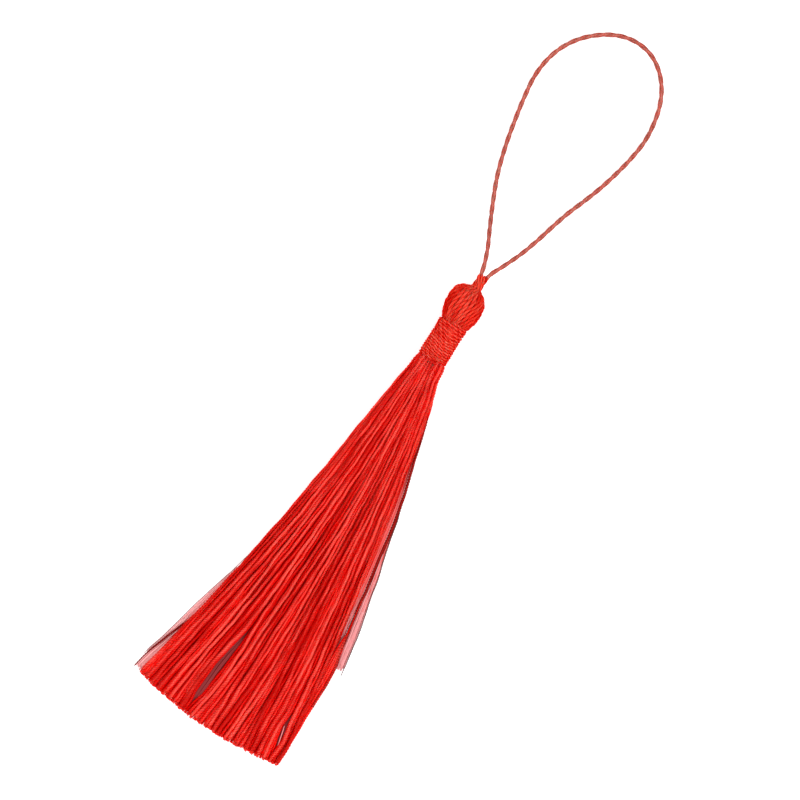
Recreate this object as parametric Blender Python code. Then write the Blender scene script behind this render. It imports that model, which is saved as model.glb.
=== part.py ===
"""Silk tassel lying flat: a hank of twisted threads folded at its head, a wound neck and a hanging loop.

Metres, +Z up. The tassel lies on z = 0 with its length along Y, the loop towards +Y and the cut ends of the
skirt towards -Y. The origin is on the surface, under the middle of the hank.
"""

import math
from collections import namedtuple

import bmesh
import bpy
import numpy as np
from mathutils import Vector

MM = 0.001

# Driving dimensions.
SKIRT_LENGTH = 69.0 * MM  # lower edge of the binding to the longest cut end
BINDING_LENGTH = 7.0 * MM
HEAD_LENGTH = 6.3 * MM
HEAD_RADIUS = 3.18 * MM  # over the folded threads
HEAD_PRESS = 0.30 * MM  # how far the head is pressed flat where it lies
CORE_RADIUS = 1.67 * MM  # the threads squeezed inside the binding
CORD_DIAMETER = 0.78 * MM
CLEARANCE = 0.3 * MM  # between neighbouring pieces

# Places along the tassel.
HANK_LENGTH = SKIRT_LENGTH + BINDING_LENGTH + CLEARANCE + HEAD_LENGTH
HEAD_TOP = HANK_LENGTH / 2
BINDING_TOP = HEAD_TOP - HEAD_LENGTH - CLEARANCE
BINDING_FOOT = BINDING_TOP - BINDING_LENGTH
AXIS_HEIGHT = HEAD_RADIUS - HEAD_PRESS

# Head, neck core and collar are one turned form: each ring's place along Y and its radius, and how strongly
# the folded threads show on it as ribs.
CoreRing = namedtuple("CoreRing", "along radius rib")
COLLAR_END = BINDING_FOOT - 1.70 * MM  # where the strands part from each other
CORE_RINGS = (
    CoreRing(HEAD_TOP, 1.02 * MM, 0.2),
    CoreRing(HEAD_TOP - 0.28 * MM, 1.81 * MM, 0.6),
    CoreRing(HEAD_TOP - 0.80 * MM, 2.42 * MM, 0.9),
    CoreRing(HEAD_TOP - 1.50 * MM, 2.83 * MM, 1.0),
    CoreRing(HEAD_TOP - 2.30 * MM, 3.05 * MM, 1.0),
    CoreRing(HEAD_TOP - 3.20 * MM, HEAD_RADIUS, 1.0),
    CoreRing(HEAD_TOP - 4.40 * MM, HEAD_RADIUS, 1.0),
    CoreRing(HEAD_TOP - 5.40 * MM, 3.06 * MM, 1.0),
    CoreRing(HEAD_TOP - 6.05 * MM, 2.84 * MM, 1.0),
    CoreRing(HEAD_TOP - HEAD_LENGTH, 2.58 * MM, 0.8),
    CoreRing(HEAD_TOP - HEAD_LENGTH, CORE_RADIUS, 0.0),
    CoreRing(BINDING_FOOT - 0.12 * MM, CORE_RADIUS, 0.0),
    CoreRing(BINDING_FOOT - 1.42 * MM, 2.62 * MM, 0.0),
    CoreRing(COLLAR_END, 2.66 * MM, 0.0),
)
COLLAR_LENGTH = BINDING_FOOT - COLLAR_END
RIBS = 24  # folded threads round the head
RIB_DEPTH = 0.20 * MM
RIB_SLANT = math.radians(24)  # how far a thread turns round the head between top and neck

# Skirt: its two edges as seen from above at a distance below the binding, the height of its underside over
# the surface, and how high it stands there.
SkirtRow = namedtuple("SkirtRow", "below left right lift height")
SKIRT_ROWS = (
    SkirtRow(0.0 * MM, -2.60 * MM, 2.60 * MM, 0.28 * MM, 5.20 * MM),
    SkirtRow(1.7 * MM, -2.62 * MM, 2.62 * MM, 0.28 * MM, 5.20 * MM),
    SkirtRow(4.0 * MM, -2.95 * MM, 3.40 * MM, 0.22 * MM, 4.85 * MM),
    SkirtRow(8.6 * MM, -3.65 * MM, 4.90 * MM, 0.08 * MM, 4.30 * MM),
    SkirtRow(16.6 * MM, -4.50 * MM, 6.70 * MM, 0.00 * MM, 3.60 * MM),
    SkirtRow(24.6 * MM, -5.45 * MM, 8.30 * MM, 0.00 * MM, 3.10 * MM),
    SkirtRow(32.6 * MM, -6.60 * MM, 9.80 * MM, 0.00 * MM, 2.70 * MM),
    SkirtRow(40.6 * MM, -8.00 * MM, 11.10 * MM, 0.00 * MM, 2.30 * MM),
    SkirtRow(48.6 * MM, -9.70 * MM, 12.40 * MM, 0.00 * MM, 2.00 * MM),
    SkirtRow(56.6 * MM, -11.40 * MM, 13.30 * MM, 0.00 * MM, 1.90 * MM),
    SkirtRow(64.6 * MM, -12.90 * MM, 13.65 * MM, 0.00 * MM, 1.90 * MM),
    SkirtRow(70.0 * MM, -13.50 * MM, 13.90 * MM, 0.00 * MM, 1.90 * MM),
)

# Strands. Distances are below the binding.
STRANDS = 72
STRAND_RINGS = 15
RING_SPREAD = 1.06  # rings stand a little closer together near the collar
ROOT_THICKNESS = 0.40 * MM  # a strand's width over its corners at the collar, where it is still tight
STRAND_THICKNESS = 0.66 * MM  # and once it has swelled
SWELL_END = 36.0 * MM  # where a strand has swelled
STRAND_GAP = 0.07 * MM
ROOT_DEPTH = 0.2 * MM  # how far a strand's root reaches into the collar
GOLDEN = (math.sqrt(5) - 1) / 2
FIRST_LEVEL = 0.3
SEED = 7

# How the round bundle settles on the surface.
SINK_END = 14.0 * MM  # the disc at the collar has sunk into a heap with a flat underside
SETTLE_START = 20.0 * MM  # the heap flattens into layers between these
SETTLE_END = 60.0 * MM
LAYER_RISE = 0.56 * MM  # from one layer to the next, which lies in its furrows
LAYER_SHARES = (0.46, 0.87)  # share of the strands in the lowest layer, and in the two lowest
FLAT_START = 22.0 * MM  # the lowest strands roll from an edge onto a face between these
FLAT_END = 40.0 * MM

# Each strand sways to both sides in a slow wave.
SWAY_LEAST = 0.10 * MM
SWAY_MOST = 0.35 * MM
TOP_SWAY = 2.5  # times as far in the top layer, which is loose
WAVE_SHORTEST = 24.0 * MM
WAVE_LONGEST = 50.0 * MM
SWAY_START = 6.0 * MM  # the sway grows between these
SWAY_FULL = 30.0 * MM

# Strands are pushed clear of each other in short steps from the collar down.
PUSH_STEPS = 5  # from one ring to the next
PUSHES = 60
PUSH_SHARE = 0.4  # share of the missing distance that each of two strands gives way
KEPT_PUSH = 0.98  # share of a push that a strand keeps at the next step

# Cut ends, along a slightly bowed line.
CUT_BOW = 8.5  # how fast the line draws back to the sides, in metres per square metre
CUT_MIDDLE = 1.5 * MM
CUT_UNEVEN = 0.5 * MM
LAST_RING_GAP = 0.8 * MM  # a strand's last ring before its cut end is at least this far from it

# A narrow opening between the strands near the cut ends.
PARTING_SHARE = -0.27  # its place between the middle and the edge of the skirt
PARTING_FROM = 47.5 * MM
PARTING_TO = 68.0 * MM
PARTING_HALF = 1.15 * MM
PARTING_FADE = 0.30

# Loose outer strands: which strand, where it leaves the skirt's edge, where it ends, how far out, and its
# thickness at the end.
Stray = namedtuple("Stray", "strand leaves ends out thickness")
STRAYS = (
    Stray(0, 44.0 * MM, 66.6 * MM, 0.95 * MM, 0.34 * MM),
    Stray(STRANDS - 1, 16.0 * MM, 50.4 * MM, 1.75 * MM, 0.34 * MM),
)

# Binding: one thread wound round the neck.
BINDING_RADIUS = 2.46 * MM
BINDING_FLARE = 0.16 * MM  # the upper turns ride up on the head
BINDING_TURNS = 14
BINDING_SIDES = 20
TURN_DEPTH = 0.14 * MM

# Hanging loop: a two-ply cord, from the top of the head round and back, coming down to the surface.
CORD_RADIUS = CORD_DIAMETER / 2
CORD_LAY = 3.9 * MM  # length in which the plies turn once, to the left
CORD_STEPS = 8  # rings in one turn of the plies
PLY_ANGLES = (-22, 22, 90, 158, 202, 270)  # degrees round the section
PLY_SHARES = (1.0, 1.0, 0.55, 1.0, 1.0, 0.55)
CordPoint = namedtuple("CordPoint", "x beyond z")  # beyond: distance from the top of the head
CORD_ROUTE = (
    CordPoint(-0.32, 0.3, 2.88),
    CordPoint(-0.32, 1.4, 2.88),
    CordPoint(-0.52, 2.6, 2.84),
    CordPoint(-1.60, 5.9, 2.42),
    CordPoint(-3.15, 9.2, 1.62),
    CordPoint(-4.90, 13.0, 0.80),
    CordPoint(-6.70, 17.4, 0.39),
    CordPoint(-7.85, 21.3, 0.39),
    CordPoint(-8.80, 25.6, 0.39),
    CordPoint(-9.60, 30.2, 0.39),
    CordPoint(-9.95, 33.3, 0.39),
    CordPoint(-9.80, 36.1, 0.39),
    CordPoint(-8.95, 39.3, 0.39),
    CordPoint(-7.50, 41.9, 0.39),
    CordPoint(-5.35, 44.2, 0.39),
    CordPoint(-3.00, 45.8, 0.39),
    CordPoint(-0.65, 46.7, 0.39),
    CordPoint(1.65, 46.9, 0.39),
    CordPoint(4.05, 46.4, 0.39),
    CordPoint(6.35, 45.0, 0.39),
    CordPoint(8.15, 43.0, 0.39),
    CordPoint(9.40, 40.6, 0.39),
    CordPoint(10.20, 37.6, 0.39),
    CordPoint(10.50, 34.5, 0.39),
    CordPoint(10.15, 30.9, 0.39),
    CordPoint(9.40, 27.4, 0.39),
    CordPoint(8.45, 24.0, 0.39),
    CordPoint(7.35, 20.9, 0.39),
    CordPoint(6.20, 17.9, 0.39),
    CordPoint(5.25, 14.8, 0.54),
    CordPoint(4.30, 11.4, 1.10),
    CordPoint(3.15, 8.0, 1.90),
    CordPoint(1.85, 5.0, 2.58),
    CordPoint(0.82, 2.7, 2.84),
    CordPoint(0.58, 1.4, 2.88),
    CordPoint(0.58, 0.3, 2.88),
)

SILK_RED = (0.80, 0.018, 0.010, 1.0)
CORD_RED = (0.72, 0.022, 0.014, 1.0)


def clear_scene():
    for item in list(bpy.data.objects):
        bpy.data.objects.remove(item, do_unlink=True)


def silk(name, colour):
    material = bpy.data.materials.new(name)
    material.use_nodes = True
    shader = material.node_tree.nodes["Principled BSDF"]
    shader.inputs["Base Color"].default_value = colour
    shader.inputs["Roughness"].default_value = 0.45
    shader.inputs["Metallic"].default_value = 0.0
    return material


def object_from(name, mesh_data, material):
    """A bmesh made into a smooth-shaded object, with its creases kept sharp."""
    bmesh.ops.recalc_face_normals(mesh_data, faces=mesh_data.faces)
    mesh = bpy.data.meshes.new(name)
    mesh_data.to_mesh(mesh)
    mesh_data.free()
    mesh.materials.append(material)
    mesh.shade_smooth()
    mesh.set_sharp_from_angle(angle=math.radians(50))
    piece = bpy.data.objects.new(name, mesh)
    bpy.context.scene.collection.objects.link(piece)
    return piece


def bridge(mesh_data, first, second):
    """Quads between two closed rings of equal length."""
    count = len(first)
    for i in range(count):
        j = (i + 1) % count
        mesh_data.faces.new((first[i], first[j], second[j], second[i]))


def loft(mesh_data, rings):
    """Closed body through rings of points, capped at both ends."""
    rows = [[mesh_data.verts.new(point) for point in ring] for ring in rings]
    for first, second in zip(rows, rows[1:]):
        bridge(mesh_data, first, second)
    mesh_data.faces.new(rows[0])
    mesh_data.faces.new(reversed(rows[-1]))


def smooth_step(value, start, end):
    share = min(max((value - start) / (end - start), 0.0), 1.0)
    return share * share * (3 - 2 * share)


def smooth_curve(places, values, at):
    """Values at the places asked for, on a smooth curve through a table's rows."""
    slopes = np.gradient(values, places, axis=0)
    i = np.clip(np.searchsorted(places, at) - 1, 0, len(places) - 2)
    span = (places[i + 1] - places[i])[:, None]
    t = (at - places[i])[:, None] / span
    start = (1 + 2 * t) * (1 - t) ** 2 * values[i] + t * (1 - t) ** 2 * span * slopes[i]
    end = t * t * (3 - 2 * t) * values[i + 1] - t * t * (1 - t) * span * slopes[i + 1]
    return start + end


# ---- hank: head, neck core and collar ----


def core_ring(ring):
    """Points round the tassel's axis, in and out over the ribs, and none below the surface."""
    slant = RIB_SLANT * (HEAD_TOP - ring.along) / HEAD_LENGTH
    points = []
    for i in range(2 * RIBS):
        angle = math.pi * i / RIBS + slant * (ring.rib > 0)
        radius = ring.radius - RIB_DEPTH * ring.rib * (i % 2)
        height = AXIS_HEIGHT + radius * math.sin(angle)
        points.append((radius * math.cos(angle), ring.along, max(height, 0.0)))
    return points


def make_core(material):
    mesh_data = bmesh.new()
    loft(mesh_data, [core_ring(ring) for ring in CORE_RINGS])
    return object_from("tassel_hank", mesh_data, material)


# ---- hank: skirt ----


def skirt_at(below):
    table = np.array(SKIRT_ROWS)
    return SkirtRow(*smooth_curve(table[:, 0], table, np.array([below]))[0])


def strand_radius(below):
    """Half a strand's thickness over its corners."""
    swelled = smooth_step(below, COLLAR_LENGTH, SWELL_END)
    return (ROOT_THICKNESS + (STRAND_THICKNESS - ROOT_THICKNESS) * swelled) / 2


class Skirt:
    """Where each strand lies. Strands are numbered from left to right.

    Each one's level in the bundle steps on by the golden ratio, which keeps neighbours well apart however
    the round bundle is flattened.
    """

    def __init__(self):
        random = np.random.default_rng(SEED)
        number = np.arange(STRANDS)
        fine = np.linspace(-1, 1, 2001)
        area = 0.5 + (fine * np.sqrt(1 - fine**2) + np.arcsin(fine)) / math.pi
        self.across = np.interp((number + 0.5) / STRANDS, area, fine)
        self.chord = np.sqrt(1 - self.across**2)
        self.level = (number * GOLDEN + FIRST_LEVEL) % 1
        self.layer = np.searchsorted(LAYER_SHARES, self.level)
        self.rank = np.zeros(STRANDS)
        for layer in range(len(LAYER_SHARES) + 1):
            chosen = self.layer == layer
            self.rank[chosen] = np.linspace(-1, 1, chosen.sum())
        self.sway = random.uniform(SWAY_LEAST, SWAY_MOST, STRANDS)
        self.sway[self.layer == len(LAYER_SHARES)] *= TOP_SWAY
        self.wave = random.uniform(WAVE_SHORTEST, WAVE_LONGEST, STRANDS)
        self.phase = random.uniform(0, 2 * math.pi, STRANDS)
        self.short = random.uniform(0, 1, STRANDS) ** 2 * CUT_UNEVEN

    def roll(self, below):
        """How far each section is rolled from lying on a face: a strand of the lowest layer ends flat."""
        flat = (self.layer == 0) * smooth_step(below, FLAT_START, FLAT_END)
        return math.pi / 4 * (1 - flat)

    def wanted(self, below):
        """Each strand's place before it is pushed clear of its neighbours, and the limits it keeps to."""
        row = skirt_at(below)
        half = strand_radius(below)
        resting = half * np.cos(math.pi / 4 - self.roll(below))
        settled = smooth_step(below, SETTLE_START, SETTLE_END)
        sunk = smooth_step(below, COLLAR_LENGTH, SINK_END)
        middle = (row.left + row.right) / 2
        reach = (row.right - row.left) / 2 - half
        share = (1 - settled) * self.across + settled * self.rank
        x = middle + reach * share
        loose = smooth_step(below, SWAY_START, SWAY_FULL)
        x += loose * self.sway * np.sin(2 * math.pi * below / self.wave + self.phase)
        opening = math.sin(math.pi * np.clip((below - PARTING_FROM) / (PARTING_TO - PARTING_FROM), 0, 1))
        aside = self.rank - PARTING_SHARE
        x += PARTING_HALF * opening**2 * np.sign(aside) * np.exp(-np.abs(aside) / PARTING_FADE)
        disc = row.lift + row.height / 2 + (2 * self.level - 1) * (row.height / 2 - half) * self.chord
        heap = row.lift + half + self.level * (row.height - 2 * half) * self.chord
        layers = resting + self.layer * LAYER_RISE
        z = (1 - settled) * ((1 - sunk) * disc + sunk * heap) + settled * layers
        low = np.full(STRANDS, row.left + half)
        high = np.full(STRANDS, row.right - half)
        for stray in STRAYS:
            side = math.copysign(1, self.across[stray.strand])
            out = side * stray.out * smooth_step(below, stray.leaves, stray.ends)
            edge = row.left + half if side < 0 else row.right - half
            x[stray.strand] = edge + out
            low[stray.strand] = min(edge + out, row.left + half)
            high[stray.strand] = max(edge + out, row.right - half)
        return np.stack((x, z), axis=1), low, high, row.lift + resting

    def pushed_clear(self, places, below, low, high, floor):
        """Strands that come too near each other are pushed apart along the line between them."""
        need = 2 * strand_radius(below) + STRAND_GAP
        for _ in range(PUSHES):
            apart = places[:, None] - places[None]
            distance = np.linalg.norm(apart, axis=2)
            np.fill_diagonal(distance, need)
            short = np.clip(need - distance, 0, None)
            places = places + PUSH_SHARE * (apart * (short / distance)[..., None]).sum(axis=1)
            places[:, 0] = np.clip(places[:, 0], low, high)
            places[:, 1] = np.maximum(places[:, 1], floor)
        return places

    def follow(self):
        """Every strand's place at every station, found in short steps from the collar down."""
        shares = (np.arange(STRAND_RINGS + 1) / STRAND_RINGS) ** RING_SPREAD
        stations = COLLAR_LENGTH + (SKIRT_LENGTH - COLLAR_LENGTH) * shares
        moved = 0.0
        before = stations[0]
        found = []
        for station in stations:
            for below in np.linspace(before, station, PUSH_STEPS + 1)[1:]:
                places, low, high, floor = self.wanted(below)
                clear = self.pushed_clear(places + moved, below, low, high, floor)
                moved = KEPT_PUSH * (clear - places)
            found.append(clear)
            before = station
        return stations, np.array(found)

    def cut(self, strand, x):
        """Distance below the binding at which this strand is cut."""
        for stray in STRAYS:
            if stray.strand == strand:
                return stray.ends
        return SKIRT_LENGTH - CUT_BOW * (x - CUT_MIDDLE) ** 2 - self.short[strand]


def square_ring(x, below, z, radius, roll):
    ring = []
    for quarter in range(4):
        angle = roll + math.pi * (0.25 + 0.5 * quarter)
        height = max(z + radius * math.sin(angle), 0.0)
        ring.append((x + radius * math.cos(angle), BINDING_FOOT - below, height))
    return ring


def strand_rings(skirt, strand, stations, places):
    """A strand's rings from its root in the collar to its cut end."""
    stray = next((row for row in STRAYS if row.strand == strand), None)
    cut = skirt.cut(strand, places[-1, 0])
    kept = stations < cut - LAST_RING_GAP
    lengths = np.concatenate(([stations[0] - ROOT_DEPTH], stations[kept], [cut]))
    rings = []
    for below in lengths:
        x = np.interp(below, stations, places[:, 0])
        z = np.interp(below, stations, places[:, 1])
        radius = strand_radius(below)
        if stray:
            thinned = smooth_step(below, stray.leaves, stray.ends)
            radius += thinned * (stray.thickness / 2 - radius)
        rings.append(square_ring(x, below, z, radius, skirt.roll(below)[strand]))
    return rings


def make_strands(material):
    """All strands as one object of separate bodies, for the union with the collar."""
    skirt = Skirt()
    stations, places = skirt.follow()
    mesh_data = bmesh.new()
    for strand in range(STRANDS):
        loft(mesh_data, strand_rings(skirt, strand, stations, places[:, strand]))
    strands = object_from("strands", mesh_data, material)
    strands.hide_render = True
    strands.display_type = "WIRE"
    return strands


def make_hank():
    material = silk("tassel_silk", SILK_RED)
    hank = make_core(material)
    union = hank.modifiers.new("strands_into_collar", "BOOLEAN")
    union.operation = "UNION"
    union.solver = "EXACT"
    union.object = make_strands(material)
    return hank


# ---- neck binding ----


def binding_radius(share, crest):
    """Outer radius at a share of the binding's length, over a turn's crest or in the furrow beside it."""
    return BINDING_RADIUS + BINDING_FLARE * share**3 - (0 if crest else TURN_DEPTH)


def make_binding():
    """A sleeve whose outside is a helical ridge: the turns of one thread, side by side."""
    mesh_data = bmesh.new()
    pitch = BINDING_LENGTH / (BINDING_TURNS + 1)
    sides = BINDING_SIDES

    def point(side, along, radius):
        angle = 2 * math.pi * side / sides
        x = radius * math.cos(angle)
        z = AXIS_HEIGHT + radius * math.sin(angle)
        return mesh_data.verts.new((x, BINDING_FOOT + along, z))

    rows = 2 * BINDING_TURNS
    helix = {}
    for side in range(sides):
        for row in range(rows + 1 + 2 * (side == 0)):
            along = pitch * (row / 2 + side / sides)
            radius = binding_radius(along / BINDING_LENGTH, row % 2 == 1)
            helix[side, row] = point(side, along, radius)
    for row in range(rows + 1):
        helix[sides, row] = helix[0, row + 2]
    for side in range(sides):
        for row in range(rows):
            ring = ((side, row), (side + 1, row), (side + 1, row + 1), (side, row + 1))
            mesh_data.faces.new([helix[key] for key in ring])

    foot_radius = binding_radius(0, False)
    top_radius = binding_radius(1, False)
    foot = [helix[0, 0]] + [point(side, 0, foot_radius) for side in range(1, sides)]
    top = [helix[0, rows + 2]] + [point(side, BINDING_LENGTH, top_radius) for side in range(1, sides)]
    mesh_data.faces.new((foot[0], foot[1], helix[1, 0]))
    mesh_data.faces.new((helix[0, rows], helix[1, rows], top[1], top[0], helix[0, rows + 1]))
    for side in range(1, sides - 1):
        mesh_data.faces.new((foot[side], foot[side + 1], helix[side + 1, 0], helix[side, 0]))
        mesh_data.faces.new((helix[side, rows], helix[side + 1, rows], top[side + 1], top[side]))
    last = sides - 1
    mesh_data.faces.new((foot[last], foot[0], helix[0, 1], helix[0, 2], helix[last, 0]))
    mesh_data.faces.new((helix[last, rows], top[0], top[last]))

    inner_radius = CORE_RADIUS + CLEARANCE
    inner_foot = [point(side, 0, inner_radius) for side in range(sides)]
    inner_top = [point(side, BINDING_LENGTH, inner_radius) for side in range(sides)]
    bridge(mesh_data, inner_foot, foot)
    bridge(mesh_data, inner_top, inner_foot)
    bridge(mesh_data, top, inner_top)
    return object_from("neck_binding", mesh_data, silk("binding_silk", SILK_RED))


# ---- hanging loop ----


def even_route():
    """Points one step of the twist apart, on a smooth curve through the route."""
    route = np.array([(point.x, point.beyond, point.z) for point in CORD_ROUTE]) * MM
    route[:, 1] += HEAD_TOP
    chords = np.linalg.norm(np.diff(route, axis=0), axis=1)
    places = np.concatenate(([0.0], np.cumsum(chords)))
    curve = smooth_curve(places, route, np.linspace(0, places[-1], 2000))
    run = np.concatenate(([0.0], np.cumsum(np.linalg.norm(np.diff(curve, axis=0), axis=1))))
    steps = round(run[-1] * CORD_STEPS / CORD_LAY)
    even = np.linspace(0, run[-1], steps + 1)
    return [Vector([np.interp(at, run, curve[:, axis]) for axis in range(3)]) for at in even]


def cord_rings(route):
    """The two plies' outline at each point of the route, turning about it."""
    normal = Vector((0, 0, 1))
    rings = []
    for i, centre in enumerate(route):
        tangent = (route[min(i + 1, len(route) - 1)] - route[max(i - 1, 0)]).normalized()
        normal = (normal - normal.dot(tangent) * tangent).normalized()
        sideways = tangent.cross(normal)
        ring = []
        for degrees, share in zip(PLY_ANGLES, PLY_SHARES):
            angle = math.radians(degrees) - 2 * math.pi * i / CORD_STEPS
            arm = normal * math.cos(angle) + sideways * math.sin(angle)
            ring.append(centre + CORD_RADIUS * share * arm)
        rings.append(ring)
    return rings


def make_loop():
    mesh_data = bmesh.new()
    loft(mesh_data, cord_rings(even_route()))
    return object_from("hanging_loop", mesh_data, silk("loop_cord", CORD_RED))


def main():
    clear_scene()
    make_hank()
    make_binding()
    make_loop()


main()
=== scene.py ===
"""Looks of the silk tassel: plied threads in the skirt, folded over at the head, wound at the neck and hung
on a two-ply cord. It is made in metres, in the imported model's frame: +Y from the cut ends to the loop and +Z
up. Tables made by rows_of are in millimetres. A pair such as THICKNESSES is the least and the most of a
random draw, as shares where it has no unit."""

import math
from collections import namedtuple

import bpy
import numpy as np
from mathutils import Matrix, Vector


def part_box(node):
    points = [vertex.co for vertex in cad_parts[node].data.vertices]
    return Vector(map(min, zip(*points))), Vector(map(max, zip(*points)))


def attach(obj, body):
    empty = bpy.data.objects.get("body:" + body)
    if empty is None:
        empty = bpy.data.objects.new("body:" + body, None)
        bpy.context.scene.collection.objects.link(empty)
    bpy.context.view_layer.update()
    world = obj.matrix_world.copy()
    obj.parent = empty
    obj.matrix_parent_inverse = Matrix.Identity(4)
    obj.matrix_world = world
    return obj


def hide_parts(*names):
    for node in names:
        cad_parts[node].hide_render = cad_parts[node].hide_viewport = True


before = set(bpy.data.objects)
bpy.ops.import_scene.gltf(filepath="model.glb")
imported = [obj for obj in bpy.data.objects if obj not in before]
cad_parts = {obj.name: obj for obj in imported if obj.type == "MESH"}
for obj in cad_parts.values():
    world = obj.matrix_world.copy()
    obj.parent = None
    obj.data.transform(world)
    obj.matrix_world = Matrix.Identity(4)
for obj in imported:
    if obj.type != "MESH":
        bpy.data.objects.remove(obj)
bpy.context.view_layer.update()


def rows_of(row_type, *rows):
    """A short table, whose columns have the names that its row type gives them."""
    return tuple(row_type(*row) for row in rows)


MM = 0.001
FULL_TURN = 2 * math.pi
UPWARD = np.array((0.0, 0.0, 1.0))
SEED = 7

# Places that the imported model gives.
HANK_LOW, HANK_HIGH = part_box("tassel_hank")
NECK_LOW, NECK_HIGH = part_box("neck_binding")
HEAD_TOP = HANK_HIGH.y
BINDING_TOP = NECK_HIGH.y
BINDING_FOOT = NECK_LOW.y
BINDING_LENGTH = BINDING_TOP - BINDING_FOOT
SKIRT_LENGTH = BINDING_FOOT - HANK_LOW.y
AXIS_HEIGHT = (NECK_LOW.z + NECK_HIGH.z) / 2

# Camera: straight down, the picture's upper edge turned towards the loop.
VIEW_MIDDLE = (-0.77 * MM, 19.69 * MM)
VIEW_TURN = math.radians(32)
VIEW_WIDTH = 128.0 * MM
LENS = 110.0  # mm on a 36 mm sensor
SENSOR = 36.0

# Light: a pale table that glows a little, as a light table does, so that no shadow shows on it, in an even
# white room with two softboxes.
FLOOR_HEIGHT = -0.05 * MM
FLOOR_HALF = 12.0
WHITE = (1.0, 1.0, 1.0, 1.0)
FLOOR_PAINT = {
    "Base Color": (0.92, 0.92, 0.92, 1.0),
    "Roughness": 0.9,
    "Specular IOR Level": 0.1,
    "Emission Color": WHITE,
    "Emission Strength": 0.36,
}
ROOM_LIGHT = 0.45
Softbox = namedtuple("Softbox", "name place size power")
SOFTBOXES = (
    Softbox("key", (0.26, -0.02, 0.50), 0.22, 2.15),
    Softbox("fill", (-0.24, 0.05, 0.50), 0.35, 1.65),
)
LIT_PLACE = (0.0, 0.01, 0.0)

# Threads of the hank: three plies, twisted to the right.
ROOT_RADIUS = 0.250 * MM
THREAD_RADIUS = 0.265 * MM
END_RADIUS = 0.345 * MM
TOP_THICKER = 1.12  # of the top layer
THICKNESSES = (0.92, 1.08)
PLIES = 3
THREAD_LAY = 1.35 * MM  # length of one turn of the twist
LAYS = (0.85, 1.25)
RINGS_PER_LAY = 6
PLY_POINTS = 2
PLY_GROOVE = 0.32

# Skirt: its edges as seen from above, without the loose outer threads, how thick it is and how far it lies
# off the floor. below is the distance below the binding.
SkirtRow = namedtuple("SkirtRow", "below left right height lift", defaults=(0.0,))
SKIRT_ROWS = rows_of(
    SkirtRow,
    (0.0, -2.36, 2.66, 5.20, 0.28),
    (1.7, -2.54, 2.92, 5.20, 0.28),
    (4.0, -3.08, 3.50, 4.85, 0.22),
    (6.2, -3.46, 4.50, 4.55, 0.14),
    (8.6, -3.88, 5.10, 4.30, 0.08),
    (16.6, -4.58, 6.50, 3.60),
    (24.6, -5.55, 8.15, 3.10),
    (31.0, -6.42, 9.45, 2.75),
    (38.1, -7.60, 10.32, 2.40),
    (44.3, -8.65, 10.95, 2.15),
    (48.4, -9.30, 11.65, 2.00),
    (51.6, -9.90, 12.85, 1.95),
    (56.6, -10.90, 13.40, 1.90),
    (61.3, -12.10, 13.55, 1.90),
    (65.0, -13.05, 13.65, 1.90),
    (70.0, -13.75, 13.80, 1.90),
)
THREADS = 150
SKIRT_PIECES = 4
STATIONS = 15  # cross-sections at which the threads are placed, closer together near the binding
STATION_SPREAD = 1.06
FIRST_STATION = 1.7 * MM
SWELL_END = 36.0 * MM
THREAD_ROOM = 0.47 * MM  # least distance between two threads' middles, and how much less it is at the top
CROWDED = 0.11 * MM
CROWDED_END = 18.0 * MM
GOLDEN = (math.sqrt(5) - 1) / 2
FIRST_LEVEL = 0.3

# How the round bundle sinks to the floor and settles in layers, each thread swaying a little.
SINK_END = 14.0 * MM
SETTLE_START = 20.0 * MM
SETTLE_END = 60.0 * MM
LAYER_RISE = 0.30 * MM
LAYER_SHARES = (0.30, 0.60, 0.86)
TOP_LAYER = len(LAYER_SHARES)
SWAYS = (0.10 * MM, 0.35 * MM)
TOP_SWAY = 3.4  # of the top layer
SWAY_WAVES = (24.0 * MM, 50.0 * MM)
SWAY_START = 6.0 * MM
SWAY_FULL = 30.0 * MM
PUSH_STEPS = 5
PUSHES = 40
PUSH_SHARE = 0.4
KEPT_PUSH = 0.98
SMOOTHINGS = 10

# Small sways of every thread: wave length and how far.
WOBBLES = ((9.0 * MM, 0.045 * MM), (4.6 * MM, 0.030 * MM), (2.4 * MM, 0.014 * MM))
WOBBLE_WAVES = (0.8, 1.25)

# Cut ends: a shallow bow over the width, and irregular small waves from thread to thread.
CUT_BOW = 7.8  # for each metre, per square metre off the middle
CUT_MIDDLE = 2.5 * MM
CUT_UNEVEN = 0.14 * MM
CUT_WAVE = 0.34 * MM
CUT_WAVE_TURN = 0.27  # radians from one thread to the next
CUT_DRIFT = 1.1  # radians that a slower wave shifts the first one
CUT_DRIFT_TURN = 0.19
CUT_WAVE_POWER = 0.6
CUT_BEYOND = -0.06 * MM

# The plies of a cut thread come apart, a little tapered.
FRAY_LENGTH = 0.5 * MM
FRAY_INSIDE = 0.2 * MM
FRAY_LENGTHS = (0.86, 1.02)
FRAY_TURNS = (0.6, 1.4)  # radians
FRAY_START = 0.12 * MM
FRAY_OUT = 0.06 * MM
FRAY_OUTS = (0.1, 1.0)
FRAY_BEND = 1.5
FRAY_RADIUS = 0.125 * MM
FRAY_TAPER = 0.15
FRAY_POINTS = 6

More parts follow.
